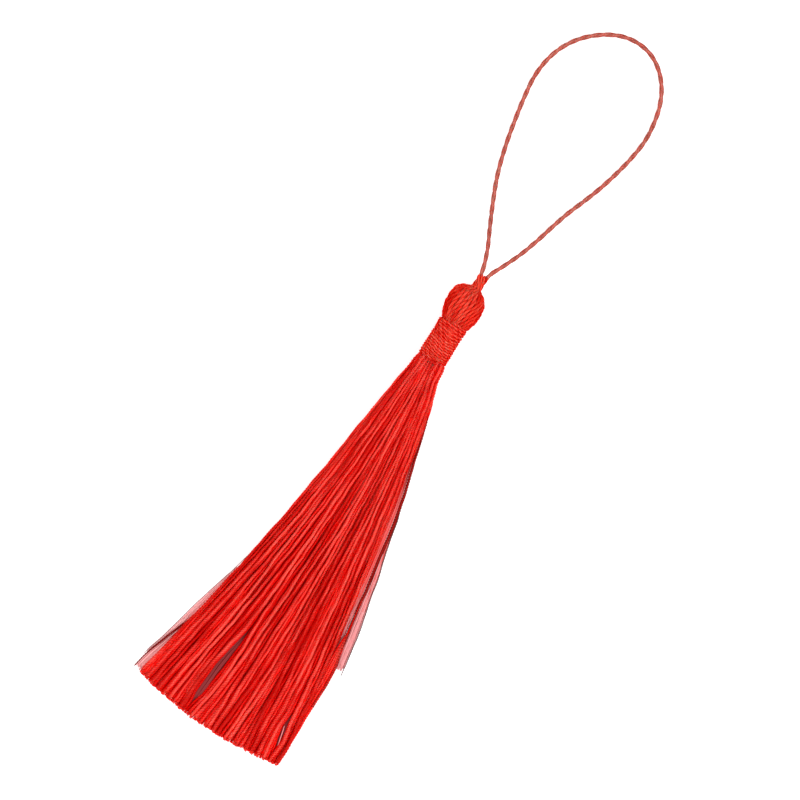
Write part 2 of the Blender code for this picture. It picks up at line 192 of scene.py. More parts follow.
# Narrow openings between the threads near the cut ends: distances below the binding and across, and their
# half width. Threads beside one give way, the less the further off they lie.
Opening = namedtuple("Opening", "below x half")
OPENINGS = (
    rows_of(
        Opening,
        (47.0, -1.05, 0.00), (51.0, -1.55, 0.05), (55.5, -2.35, 0.19), (59.2, -2.88, 0.37),
        (63.0, -3.15, 0.31), (65.6, -3.30, 0.14), (68.0, -3.45, 0.05),
    ),
    rows_of(
        Opening,
        (58.0, 10.40, 0.00), (60.0, 10.72, 0.08), (62.2, 11.15, 0.15), (64.0, 11.55, 0.16),
        (66.2, 12.00, 0.10), (67.8, 12.25, 0.00),
    ),
)
OPENING_SPREAD = 2.4 * MM
OPENING_FULL = 0.20 * MM

# Light that reaches a point of a thread past its nearest neighbours and the bed, by rays across the skirt. A
# point that little of it reaches, lit only through other threads, is painted a deeper red: painted shade
# between the threads.
DIRECTIONS = 16  # round a thread, from its top towards +X
RAYS = 24
NEAR_THREADS = 24
FLOOR_SHARE = 0.4  # what a ray from the pale floor counts against one from above
LIGHT_LEAST = 0.30  # shares of the full light at which a thread is deepest and not deep at all
LIGHT_MOST = 0.90

# Bands of the skirt that are painted a little darker or lighter: waves over its width, as if that were
# BAND_WIDTH all along, and over its length. It is painted darker too near its foot, and along its outer edges,
# where that is painted shade of threads that turn away from the light.
Band = namedtuple("Band", "across below phase share")
BANDS = (
    Band(3.1 * MM, 46.0 * MM, 0.4, 0.30),
    Band(1.9 * MM, -31.0 * MM, 2.1, 0.22),
    Band(5.3 * MM, -60.0 * MM, 4.0, 0.25),
)
BAND_WIDTH = 25 * MM
EDGE_SHADE = 0.60
EDGE_REACH = 0.5 * MM
FOOT_BAND = 0.10
FOOT_START = 46.0 * MM

# Roots: how far out a thread lies under and just below the binding, as a share of its place at the first
# station.
Root = namedtuple("Root", "below share")
ROOTS = (
    Root(-1.6 * MM, 0.58),
    Root(-0.4 * MM, 0.74),
    Root(0.05 * MM, 0.90),
    Root(0.5 * MM, 0.95),
    Root(1.0 * MM, 0.98),
)

# Bed: plain threads under the others, which close the gaps between them. They are painted deep, as painted
# shade under the others.
BED_THREADS = 40
BED_RADIUS = 0.34 * MM
BED_INSET = 0.30 * MM
BED_SETTLED = 0.62 * MM
BED_DEPTH = 0.75 * MM
BED_ROUND = 0.97  # how nearly its heap is as round as the skirt's
BED_START = 0.4 * MM
BED_SHORT = 0.8 * MM
BED_RINGS = 60

# Threads and filaments that lie beside the skirt: distances below the binding and across, and their radius.
LoosePoint = namedtuple("LoosePoint", "below x radius")
RIGHT_THREAD = rows_of(
    LoosePoint,
    (2.5, 2.20, 0.22), (8.6, 4.60, 0.22), (13.0, 5.83, 0.23), (17.3, 6.98, 0.26),
    (19.5, 7.60, 0.28), (21.8, 8.18, 0.31), (24.2, 8.73, 0.33), (27.0, 9.24, 0.33),
    (29.4, 9.58, 0.32), (31.2, 9.85, 0.31), (34.2, 10.35, 0.28), (36.8, 10.80, 0.27),
    (39.9, 11.25, 0.28), (42.1, 11.57, 0.29), (44.3, 11.95, 0.30), (46.1, 12.27, 0.30),
    (47.9, 12.68, 0.30), (49.4, 13.02, 0.30), (52.0, 13.25, 0.30), (57.0, 13.32, 0.30),
)
RIGHT_FILAMENT = rows_of(
    LoosePoint,
    (22.0, 8.30, 0.06), (24.2, 8.98, 0.10), (27.0, 9.62, 0.12), (29.4, 10.17, 0.12),
    (32.6, 11.00, 0.12), (34.2, 11.42, 0.12), (37.8, 12.17, 0.12), (40.5, 12.85, 0.12),
    (43.1, 13.40, 0.12), (45.8, 13.89, 0.12), (48.1, 14.24, 0.11), (50.3, 14.58, 0.09),
)
EDGE_THREAD = rows_of(
    LoosePoint,
    (38.0, 10.95, 0.04), (41.0, 11.40, 0.10), (44.3, 11.95, 0.22), (46.1, 12.27, 0.27),
    (47.9, 12.68, 0.29), (49.4, 13.02, 0.29), (52.0, 13.25, 0.29), (57.0, 13.30, 0.29),
    (62.0, 13.34, 0.30), (67.3, 13.42, 0.30),
)
LEFT_THREAD = rows_of(
    LoosePoint,
    (54.6, -10.62, 0.04), (55.8, -10.96, 0.10), (57.8, -11.65, 0.17), (59.6, -12.27, 0.19),
    (61.3, -12.87, 0.18), (62.8, -13.42, 0.16), (64.4, -13.87, 0.13), (66.5, -14.32, 0.10),
)
LEFT_FILAMENT = rows_of(
    LoosePoint,
    (41.0, -7.95, 0.06), (45.0, -9.00, 0.06), (49.8, -10.40, 0.06), (53.3, -11.30, 0.06),
    (56.9, -12.18, 0.07), (60.5, -13.06, 0.07), (62.5, -13.68, 0.07), (64.0, -14.05, 0.06),
)
WISP = ((60.0, 10.65), (63.2, 11.45), (66.8, 12.30))  # on top of the skirt, without a radius

# Edge threads fan out side by side from the right thread, each a little higher than the last.
EDGE_THREADS = 4
EDGE_FAN = 0.42 * MM
EDGE_STEP = 0.12 * MM
FAN_FROM = 43.0 * MM
FAN_TO = 51.0 * MM

# Loose threads come down from the side of the bundle, and further on they lie on the skirt's edge.
DOWN_FROM = 2 * MM
DOWN_TO = 30 * MM
LOOSE_HEIGHT = 0.30 * MM
RAISED = 0.55 * MM
RAISED_FROM = 23.0 * MM
LOOSE_WOBBLE = 0.5
# How deep the loose threads and the edge threads are painted: painted shade.
LOOSE_DEPTH = 0.5
EDGE_DEPTH = 0.6

# Veils of single fibres between two lines, in millimetres: distances below the binding at which the fibres
# start and end, their number, greatest height and radius, and how much their starts differ.
Veil = namedtuple("Veil", "inner outer starts ends fibres height radius stagger", defaults=(0.10, 2.5))
WISP_RADIUS = 0.07
SHADED_RADIUS = 0.22
VEIL_INSET = 0.30  # how far a veil reaches over the skirt's edge
RIM_INSET = 0.5  # and over an opening's
WISP_WIDTH = 0.12
VEIL_STEP = 0.7 * MM
VEIL_STARTS = (-0.4, 0.6)
VEIL_SHORT = 0.9
VEIL_PLACES = (0.35, 0.65)
VEIL_WAVES = ((9 * MM, 0.02),)
VEIL_LIMITS = (0.05, 0.92)
VEIL_HEIGHTS = (0.5, 1.0)

# Head: the line that a folded thread's middle follows, from under the binding to the top: its distance below
# the top, out from the axis, its radius, and how far the axis is shifted to the right. One thread in three
# goes on round the foot of the cord as its stub, and the others dive in.
HeadRow = namedtuple("HeadRow", "drop out radius shift")
HEAD_ROWS = rows_of(
    HeadRow,
    (7.90, 1.55, 0.26, 0.04),
    (7.10, 1.80, 0.28, 0.06),
    (6.65, 2.05, 0.32, 0.10),
    (6.20, 2.28, 0.36, 0.08),
    (5.60, 2.47, 0.39, 0.06),
    (4.64, 2.72, 0.40, 0.01),
    (3.68, 2.79, 0.40, -0.05),
    (2.72, 2.74, 0.40, -0.09),
    (1.95, 2.57, 0.39, -0.15),
    (1.42, 2.28, 0.38, -0.22),
    (0.94, 1.84, 0.35, -0.24),
    (0.62, 1.25, 0.32, -0.08),
)
STUB_ROWS = rows_of(
    HeadRow,
    (0.12, 0.74, 0.28, 0.06),
    (-0.45, 0.66, 0.27, 0.08),
    (-1.15, 0.63, 0.26, 0.10),
    (-1.72, 0.73, 0.24, 0.10),
    (-1.98, 0.70, 0.19, 0.10),
    (-2.22, 0.60, 0.12, 0.10),
)
DIVE_ROWS = rows_of(
    HeadRow,
    (0.66, 0.72, 0.30, 0.08),
    (1.00, 0.50, 0.24, 0.10),
)
HEAD_THREADS = 27
STUB_EVERY = 3
HEAD_UNEVEN = 0.10  # of the space between two threads
HEAD_SLANT = math.radians(20)
SLANT_LENGTH = 10.5 * MM
STUB_TURN = math.radians(95)
STUB_TURN_FROM = -0.4 * MM  # above the top
STUB_TURN_TO = 2.2 * MM
HEAD_SWAY = 0.035  # radians
HEAD_SWAY_TURN = 1.1  # radians a millimetre
ANY_PHASE = 6  # radians, the most that a wave or a twist starts with
HEAD_LAY = 3.9 * MM
HEAD_RINGS_PER_LAY = 20
HEAD_PLIES = 3
HEAD_PLY_POINTS = 3
HEAD_GROOVE = 0.46
HEAD_TILT = 0.3  # how far the threads' outer sides face the loop
# Painted shade of the head's threads: how deep they are painted, and how much their flanks count.
HEAD_DEPTH = 0.05
HEAD_STEEP_SHARE = 0.12
HEAD_CORE = 0.15 * MM  # how far the core lies inside the threads' middles

# Binding: one thinner thread wound round the neck. At the front its turns dip to a point, which grows over
# the first turns and fades over the last. The first turns wander a little, given as shares of the winding.
BINDING_TURNS = 15
BINDING_STEPS = 80  # in a turn
BINDING_THREAD = 0.25 * MM
BINDING_PLIES = 2
BINDING_PLY_POINTS = 4
BINDING_OUT = 2.22 * MM
BINDING_WAIST = 0.07 * MM
BINDING_SHIFT = 0.06 * MM
BINDING_LAY = 2.1 * MM
BINDING_GROOVE = 0.32
# Painted shade of the binding: how deep it is painted.
BINDING_DEPTH = 0.2
BINDING_TUCK = 0.10 * MM  # how far its ends tuck in, over this share of a turn
TUCK_TURN = 0.4
WANDER_ALONG = 0.06 * MM
WANDER_FROM = 0.35
WANDER_TO = 0.6
WANDER_OUT = 0.02 * MM
DIP_PLACE = math.radians(11)
DIP_LEFT = 0.80 * MM
DIP_RIGHT = 0.30 * MM
DIP_GROWN = 0.35
DIP_FADES = 0.85
DIP_FADED = 0.85  # by this share
NECK_RADIUS = 2.00 * MM
NECK_START = 0.2 * MM
NECK_STEP = 0.5 * MM

# Hanging loop: a two-ply cord twisted to the left. Its route lies on the floor where no height is given.
CORD_RADIUS = 0.39 * MM
CORD_PLIES = 2
CORD_PLY_POINTS = 6
CORD_LAY = 3.9 * MM
CORD_GROOVE = 0.28
CORD_STEP = 0.22 * MM
CORD_ROUGHNESS = 0.55
CordPoint = namedtuple("CordPoint", "x beyond z", defaults=(0.39,))  # beyond: from the top of the head
CORD_ROUTE = rows_of(
    CordPoint,
    (-0.32, 0.3, 2.88), (-0.32, 1.4, 2.88), (-0.52, 2.6, 2.84), (-1.60, 5.9, 2.42),
    (-3.15, 9.2, 1.62), (-4.90, 13.0, 0.80), (-6.70, 17.4), (-7.85, 21.3),
    (-8.80, 25.6), (-9.60, 30.2), (-9.95, 33.3), (-9.80, 36.1),
    (-8.95, 39.3), (-7.50, 41.9), (-5.35, 44.2), (-3.00, 45.8),
    (-0.65, 46.7), (1.65, 46.9), (4.05, 46.4), (6.35, 45.0),
    (8.15, 43.0), (9.40, 40.6), (10.20, 37.6), (10.50, 34.5),
    (10.15, 30.9), (9.40, 27.4), (8.45, 24.0), (7.35, 20.9),
    (6.20, 17.9), (5.25, 14.8, 0.54), (4.30, 11.4, 1.10), (3.15, 8.0, 1.90),
    (1.85, 5.0, 2.58), (0.82, 2.7, 2.84), (0.58, 1.4, 2.88), (0.58, 0.3, 2.88),
)

# Painted shade on a thread's flanks, which face its neighbours: from which share of facing outward, and how
# much.
STEEP_FROM = 0.80
STEEP_TO = 1.00
STEEP_SHARE = 0.70

# Painted shade: the head and the neck are painted darker where they turn away to the sides.
RIM_SHADE = 0.50
RIM_FROM = 0.74

# How much of each thing goes into a thread's shade, from 0, light, to 1. The shade holds painted shade, in the
# grooves between its plies and at the edges and rims that band gives, and tone that differs along it and from
# thread to thread.
BASE_SHADE = 0.15
GROOVE_SHADE = 0.80  # between its plies
FIBRE_SHADE = 1.50  # of its single fibres
DRIFT_SHADE = 1.60  # a slow change along it
TONE_SHADE = 0.16  # from thread to thread
BAND_SHADE = 1.2

# Pattern of the silk, drawn by noise: how fast it changes round, along (a millimetre) and between threads.
GROOVE_POWER = 2.2
FIBRES = 7.0
FIBRE_TURN = 0.8  # fibres lie nearly along the thread, since they turn back by this share in their plies
FIBRE_CHANGE = 0.55
FIBRE_APART = 40.0
FIBRE_DETAIL = 3.0
DRIFT_CHANGE = 0.16
DRIFT_APART = 23.0
DRIFT_DETAIL = 2.0

# A red with no deep colour of its own gets deeper as it gets darker. All of this is painted: painted shade, in
# which green and blue fall off faster than red, and painted red bounce light where it lies deep.
DARKEST = 0.43  # a fully shaded thread is darker by this share
LIGHT_LOST = 0.60  # less of the light by about this share reaches where it is deepest
DEEP_GLOW = 0.32  # red light spreads further between threads, so its red gains this share there
SKIRT_DEEPENING = (2.45, 2.55)  # green and blue fall off by these powers as the light gets less
HEAD_DEEPENING = (3.4, 3.9)

# Surface of the silk.
ROUGHNESS = 0.42
ROUGHNESS_CHANGE = 0.24
RELIEF = 0.6
RELIEF_DISTANCE = 0.05 * MM
GROOVE_RELIEF = 0.8
LUSTRE = 0.20  # light that the silk's fibres throw back in their own colour
LUSTRE_EDGE = (1.0, 0.25, 0.18, 1.0)  # tint of that light where the fibres are seen at a low angle
STRETCHED_SHINE = 0.4
GLOW_SHARE = 1.0  # light that spreads inside the silk and leaves it a little further on
GLOW_DEPTH = 0.8 * MM
GLOW_REACH = (1.0, 0.08, 0.05)  # for red, green and blue

# Colours.
SILK_LIGHT = (0.80, 0.080, 0.060, 1.0)
HEAD_LIGHT = (0.77, 0.095, 0.059, 1.0)
WOUND_LIGHT = (0.82, 0.205, 0.152, 1.0)
# A silk with a deep colour is painted towards it by its depth and shade: painted shade, and tone.
LOOP_LIGHT = (0.495, 0.155, 0.120, 1.0)
LOOP_DEEP = (0.30, 0.066, 0.050, 1.0)
LooseSilk = namedtuple("LooseSilk", "material light deep plies")
LOOSE_SILKS = {
    "dark": LooseSilk("outer_thread_silk", (0.34, 0.016, 0.012, 1.0), (0.17, 0.004, 0.003, 1.0), PLIES),
    "grey": LooseSilk("filament_silk", (0.26, 0.15, 0.14, 1.0), (0.12, 0.07, 0.065, 1.0), PLIES),
    "pale": LooseSilk("pale_fibre_silk", (0.98, 0.58, 0.57, 1.0), (0.94, 0.36, 0.36, 1.0), 1),
    "rose": LooseSilk("rose_fibre_silk", (0.90, 0.42, 0.42, 1.0), (0.68, 0.20, 0.21, 1.0), 1),
    "blush": LooseSilk("blush_fibre_silk", (0.90, 0.20, 0.185, 1.0), (0.74, 0.08, 0.075, 1.0), 1),
    # Dark fibres put in the openings as painted shade.
    "shaded": LooseSilk("opening_fibre_silk", (0.25, 0.040, 0.042, 1.0), (0.19, 0.028, 0.030, 1.0), 1),
}

PATTERN_MAP = "thread"  # counts plies round a thread and millimetres along it
BAKE_MAP = "OFBake"
BAKE_MARGIN = 0.05  # of each tube's strip there, on each side


def smooth_step(value, start, end):
    share = np.clip((value - start) / (end - start), 0.0, 1.0)
    return share * share * (3 - 2 * share)


def smooth_curve(places, values, at):
    """Values at the places asked for, on a smooth curve through a table's rows."""
    slopes = np.gradient(values, places, axis=0)
    i = np.clip(np.searchsorted(places, at) - 1, 0, len(places) - 2)
    span = (places[i + 1] - places[i])[:, None]
    t = (at - places[i])[:, None] / span
    start = (1 + 2 * t) * (1 - t) ** 2 * values[i] + t * (1 - t) ** 2 * span * slopes[i]
    end = t * t * (3 - 2 * t) * values[i + 1] - t * t * (1 - t) * span * slopes[i + 1]
    return start + end


def run_along(path):
    """Distance along a path at each of its points."""
    steps = np.linalg.norm(np.diff(path, axis=0), axis=1)
    return np.concatenate(([0.0], np.cumsum(steps)))


def evenly(path, step):
    """The same path with points about a step apart."""
    run = run_along(path)
    at = np.linspace(0, run[-1], max(3, round(run[-1] / step) + 1))
    return np.stack([np.interp(at, run, path[:, axis]) for axis in range(path.shape[1])], axis=1)


def unit(vectors):
    return vectors / np.linalg.norm(vectors, axis=-1, keepdims=True)


def add_object(name, data):
    made = bpy.data.objects.new(name, data)
    bpy.context.scene.collection.objects.link(made)
    return made


# ---- tubes ----


def plied(plies, points, groove):
    """A plied thread's outline: its points' angles and radii, with a groove between plies."""
    angles = FULL_TURN * np.arange(plies * points) / (plies * points)
    radii = 1 - groove * (1 - np.abs(np.cos(plies * angles / 2)))
    return plies, angles, radii


def plain(sides):
    """The outline of a plain round thread."""
    return plied(1, sides, 0.0)


def round_table(table, arms):
    """Reads a table of rings by directions, from the top towards +X, where the arms of each ring point."""
    count = table.shape[1]
    place = np.arctan2(arms[..., 0], arms[..., 2]) / FULL_TURN * count
    first = np.floor(place).astype(int)
    share = place - first
    ring = np.arange(len(table))[:, None]
    return (1 - share) * table[ring, first % count] + share * table[ring, (first + 1) % count]


def rim_shade(across):
    """How much painted shade darkens the head and the neck where they turn away to the sides."""
    return RIM_SHADE * smooth_step(np.abs(across), RIM_FROM, 1.0)


class Tubes:
    """Collects the tubes of one piece, then makes its mesh."""

    def __init__(self):
        self.points = []
        self.faces = []
        self.pattern = []
        self.atlas = []
        self.shades = {"tone": [], "depth": [], "band": []}
        self.count = 0
        self.tubes = 0

    def add(
        self, path, facing, radius, outline, turn=0.0, tone=0.0, low=0.0, band=0.0, steep_share=STEEP_SHARE
    ):
        """A closed tube along path. facing is where angle 0 looks before turn, in radians, is added. low says
        how deep it lies among its neighbours, from 0 to 1, and steep_share how much its flanks count against
        that; both become painted shade in its colour. With a column for each direction round the tube, low
        alone says it. band paints it darker, in bands and near the skirt's foot, and as painted shade at the
        skirt's edges and at rims."""
        plies, angles, radii = outline
        rings, sides = len(path), len(angles)
        along = unit(np.gradient(path, axis=0))
        side = unit(np.cross(along, facing))
        up = np.cross(side, along)
        angle = angles[None] + np.broadcast_to(turn, rings)[:, None]
        arms = np.cos(angle)[..., None] * up[:, None] + np.sin(angle)[..., None] * side[:, None]
        reach = np.broadcast_to(radius, rings)[:, None] * radii[None]
        self.points.append((path[:, None] + arms * reach[..., None]).reshape(-1, 3))

        ring, point = np.meshgrid(np.arange(rings - 1), np.arange(sides), indexing="ij")
        ring, point = ring.ravel(), point.ravel()
        after = (point + 1) % sides
        first = self.count + ring * sides
        quads = np.stack((first + point, first + after, first + sides + after, first + sides + point), axis=1)
        self.faces += quads.tolist()
        self.faces.append(list(range(self.count + sides - 1, self.count - 1, -1)))
        last = self.count + (rings - 1) * sides
        self.faces.append(list(range(last, last + sides)))

        run = run_along(path)
        share = run / run[-1]
        around = np.stack((point, point + 1, point + 1, point), axis=1) / sides
        length = np.stack((ring, ring, ring + 1, ring + 1), axis=1)
        caps_around = np.concatenate((np.arange(sides)[::-1], np.arange(sides))) / sides
        caps_length = np.repeat((0, rings - 1), sides)
        around = np.concatenate((around.ravel(), caps_around))
        length = np.concatenate((length.ravel(), caps_length))
        self.pattern.append(np.stack((around * plies, run[length] / MM), axis=1))
        self.atlas.append((self.tubes, np.stack((share[length], around), axis=1)))

        # The depth attribute is painted shade: deeper and darker where little light reaches, or where the tube
        # lies deep and its flanks turn away.
        if np.ndim(low) == 2:
            depth = round_table(low, arms)
        else:
            outward = unit(np.broadcast_to(facing, (rings, 3)))[:, None]
            steep = 1 - smooth_step((arms * outward).sum(axis=2), STEEP_FROM, STEEP_TO)
            depth = steep * steep_share + np.broadcast_to(low, rings)[:, None] * (1 - steep_share)
        self.shades["tone"].append(np.repeat(np.broadcast_to(tone, rings), sides))
        self.shades["depth"].append(depth.ravel())
        self.shades["band"].append(np.repeat(np.broadcast_to(band, rings), sides))
        self.count += rings * sides
        self.tubes += 1

    def piece(self, name, material):
        mesh = bpy.data.meshes.new(name)
        mesh.from_pydata(np.concatenate(self.points).tolist(), [], self.faces)
        mesh.uv_layers.new(name=PATTERN_MAP).data.foreach_set("uv", np.concatenate(self.pattern).ravel())
        strips = []
        for row, place in self.atlas:
            across = (row + BAKE_MARGIN + (1 - 2 * BAKE_MARGIN) * place[:, 1]) / self.tubes
            strips.append(np.stack((place[:, 0], across), axis=1))
        mesh.uv_layers.new(name=BAKE_MAP).data.foreach_set("uv", np.concatenate(strips).ravel())
        for shade, values in self.shades.items():
            mesh.attributes.new(shade, "FLOAT", "POINT").data.foreach_set("value", np.concatenate(values))
        mesh.materials.append(material)
        mesh.shade_smooth()
        mesh.update()
        return add_object(name, mesh)


# ---- materials ----


class Number:
    """A number that a material's nodes work out. Formulas of it are written as usual."""

    def __init__(self, socket):
        self.socket = socket

    def by(self, operation, *others):
        node = self.socket.id_data.nodes.new("ShaderNodeMath")
        node.operation = operation
        for socket, value in zip(node.inputs, (self, *others)):
            feed(socket, value)
        return Number(node.outputs[0])

    def __add__(self, other):
        return self.by("ADD", other)

    def __sub__(self, other):
        return self.by("SUBTRACT", other)

    def __rsub__(self, other):
        return self.by("MULTIPLY", -1.0).by("ADD", other)

    def __mul__(self, other):
        return self.by("MULTIPLY", other)

    def __pow__(self, other):
        return self.by("POWER", other)


def feed(socket, value):
    """Gives a socket its value, or links it to what the nodes work out."""
    if isinstance(value, Number):
        value = value.socket
    if isinstance(value, bpy.types.NodeSocket):
        socket.id_data.links.new(value, socket)
    else:
        socket.default_value = value


class Nodes:
    """A material's nodes, with short ways to add them and to read what a tube's mesh says."""

    def __init__(self, name):
        self.material = bpy.data.materials.new(name)
        self.material.use_nodes = True
        self.nodes = self.material.node_tree.nodes

    def add(self, kind, **inputs):
        node = self.nodes.new(kind)
        for name, value in inputs.items():
            feed(node.inputs[name], value)
        return node

    def pattern(self):
        """Plies round the thread and millimetres along it."""
        pattern = self.add("ShaderNodeUVMap")
        pattern.uv_map = PATTERN_MAP
        parts = self.add("ShaderNodeSeparateXYZ", Vector=pattern.outputs["UV"]).outputs
        return Number(parts["X"]), Number(parts["Y"])

    def attribute(self, name):
        node = self.add("ShaderNodeAttribute")
        node.attribute_name = name
        return Number(node.outputs["Fac"])

    def noise(self, detail, **place):
        vector = self.add("ShaderNodeCombineXYZ", **place).outputs[0]
        return Number(self.add("ShaderNodeTexNoise", Vector=vector, Scale=1.0, Detail=detail).outputs["Fac"])

    def mix(self, share, first, second):
        node = self.add("ShaderNodeMix")
        node.data_type = "RGBA"
        for name, value in (("Factor", share), ("A", first), ("B", second)):
            feed(node.inputs[name], value)
        return node.outputs["Result"]


def silk(name, light, deep, plies, lay, roughness=ROUGHNESS, glow=GLOW_SHARE, deepening=SKIRT_DEEPENING):
    """Lustrous twisted thread: fine fibres that run along each ply, and a tone that differs a little from
    thread to thread and along each one. Its colour also holds painted shade, from the depth and band of the
    mesh and the grooves between plies. Without a deep colour it is a red that gets deeper as it gets darker,
    by the powers in deepening, and whose red is painted lighter where it lies deep, as painted bounce light."""
    made = Nodes(name)
    ply, length = made.pattern()
    tone, depth, band = map(made.attribute, ("tone", "depth", "band"))

    # Round the thread the pattern is drawn on a circle, so that it has no seam.
    turn = ply * (FULL_TURN / plies) + length * (FIBRE_TURN * FULL_TURN * MM / lay)
    place = {"X": turn.by("COSINE") * FIBRES, "Y": turn.by("SINE") * FIBRES}
    fibre = made.noise(FIBRE_DETAIL, Z=length * FIBRE_CHANGE + tone * FIBRE_APART, **place)
    drift = made.noise(DRIFT_DETAIL, X=length * DRIFT_CHANGE, Y=tone * DRIFT_APART)

    # The groove between plies is painted darker, as painted shade, and sunk in the relief.
    groove = (1.0 - (ply * math.pi).by("COSINE").by("ABSOLUTE")) ** GROOVE_POWER
    shade = groove * GROOVE_SHADE + BASE_SHADE
    shade += (fibre - 0.5) * FIBRE_SHADE
    shade += (drift - 0.5) * DRIFT_SHADE
    shade += tone * TONE_SHADE
    shade += band * BAND_SHADE
    shade = shade.by("MAXIMUM", 0.0).by("MINIMUM", 1.0)
    # Painted shade: the colour darkens with the shade and the mesh's depth. Without a deep colour, green and
    # blue fall off faster than red, and red is raised where it lies deep, as painted red bounce light.
    if deep:
        colour = made.mix(depth, made.mix(shade, light, deep), deep)
    else:
        strength = 1.0 - shade * DARKEST
        reached = strength * (1.0 - depth * LIGHT_LOST)
        red = strength * (depth * DEEP_GLOW + 1.0)
        green = reached ** deepening[0] * strength
        blue = reached ** deepening[1] * strength
        parts = {"Red": red * light[0], "Green": green * light[1], "Blue": blue * light[2]}
        colour = made.add("ShaderNodeCombineColor", **parts).outputs[0]

    height = fibre - groove * GROOVE_RELIEF
    bump = made.add("ShaderNodeBump", Height=height, Strength=RELIEF, Distance=RELIEF_DISTANCE)
    surface = {
        "Base Color": colour,
        "Roughness": fibre * ROUGHNESS_CHANGE + (roughness - ROUGHNESS_CHANGE / 2),
        "Normal": bump.outputs["Normal"],
        "Metallic": LUSTRE,
        "Specular IOR Level": 0.0,
        "Specular Tint": LUSTRE_EDGE,
        "Anisotropic": STRETCHED_SHINE,
        "Subsurface Weight": glow,
        "Subsurface Radius": GLOW_REACH,
        "Subsurface Scale": GLOW_DEPTH,
    }
    for socket, value in surface.items():
        feed(made.nodes["Principled BSDF"].inputs[socket], value)
    return made.material


# ---- stage ----


def look_down():
    """The camera, straight above, with its picture turned about the vertical."""
    data = bpy.data.cameras.new("camera")
    data.lens = LENS
    data.sensor_width = SENSOR
    data.clip_start = 0.01
    data.clip_end = 40.0
    camera = add_object("camera", data)
    camera.location = (*VIEW_MIDDLE, VIEW_WIDTH * LENS / SENSOR)
    camera.rotation_euler = (0, 0, VIEW_TURN)
    bpy.context.scene.camera = camera


def add_softbox(box):
    """A square area light that looks at the tassel."""
    data = bpy.data.lights.new(box.name, "AREA")
    data.shape = "SQUARE"
    data.size = box.size
    data.energy = box.power
    lamp = add_object(box.name, data)
    lamp.location = box.place
    aim = Vector(LIT_PLACE) - Vector(box.place)
    lamp.rotation_euler = aim.to_track_quat("-Z", "Y").to_euler()


def make_stage():
    mesh = bpy.data.meshes.new("floor")
    corners = [(x * FLOOR_HALF, y * FLOOR_HALF, 0) for x, y in ((-1, -1), (1, -1), (1, 1), (-1, 1))]
    mesh.from_pydata(corners, [], [(0, 1, 2, 3)])
    floor = add_object("floor", mesh)
    floor.location.z = FLOOR_HEIGHT
    paint = bpy.data.materials.new("floor_paint")
    paint.use_nodes = True
    for socket, value in FLOOR_PAINT.items():
        paint.node_tree.nodes["Principled BSDF"].inputs[socket].default_value = value
    mesh.materials.append(paint)

    world = bpy.data.worlds.new("studio")
    world.use_nodes = True
    background = world.node_tree.nodes["Background"]
    background.inputs["Color"].default_value = WHITE
    background.inputs["Strength"].default_value = ROOM_LIGHT
    bpy.context.scene.world = world
    for box in SOFTBOXES:
        add_softbox(box)
    bpy.context.scene.view_settings.view_transform = "Standard"


# ---- hanging loop ----


def cord_path():
    """The cord's middle line, on a smooth curve through the route."""
    route = np.array([(point.x, point.beyond, point.z) for point in CORD_ROUTE]) * MM
    route[:, 1] += HEAD_TOP
    places = run_along(route)
    return evenly(smooth_curve(places, route, np.linspace(0, places[-1], 2000)), CORD_STEP)


def make_loop():
    path = cord_path()
    turn = -FULL_TURN * run_along(path) / CORD_LAY
    tubes = Tubes()
    tubes.add(path, UPWARD, CORD_RADIUS, plied(CORD_PLIES, CORD_PLY_POINTS, CORD_GROOVE), turn)
    material = silk("loop_silk", LOOP_LIGHT, LOOP_DEEP, CORD_PLIES, CORD_LAY, roughness=CORD_ROUGHNESS)
    loop = tubes.piece("loop_cord_twisted", material)
    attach(loop, "root")
    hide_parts("hanging_loop")


# ---- skirt ----


def skirt_rows(below):
    """The skirt's edges at several distances below the binding."""
    table = np.array(SKIRT_ROWS) * MM
    return SkirtRow(*smooth_curve(table[:, 0], table, below).T)


def thread_radius(below):
    """Threads are drawn together at the binding and loosen towards their cut ends."""
    middle = (THREAD_RADIUS - ROOT_RADIUS) * smooth_step(below, FIRST_STATION, SWELL_END)
    return ROOT_RADIUS + middle + (END_RADIUS - THREAD_RADIUS) * smooth_step(below, SWELL_END, SKIRT_LENGTH)


def opened(below, x, radius):
    """A thread's places across, moved to its own side of each opening."""
    for opening in OPENINGS:
        places, middles, halves = np.array(opening).T * MM
        widest = halves.argmax()
        side = np.sign(np.interp(places[widest], below, x) - middles[widest]) or 1.0
        middle = np.interp(below, places, middles)
        half = np.interp(below, places, halves)
        share = smooth_step(half, 0, OPENING_FULL)
        reach = half + radius * share
        away = side * (x - middle)
        away = away + share * reach * np.exp(-np.maximum(away, 0) / OPENING_SPREAD)
        away = away + share * np.maximum(reach - away, 0)
        x = middle + side * away
    return x


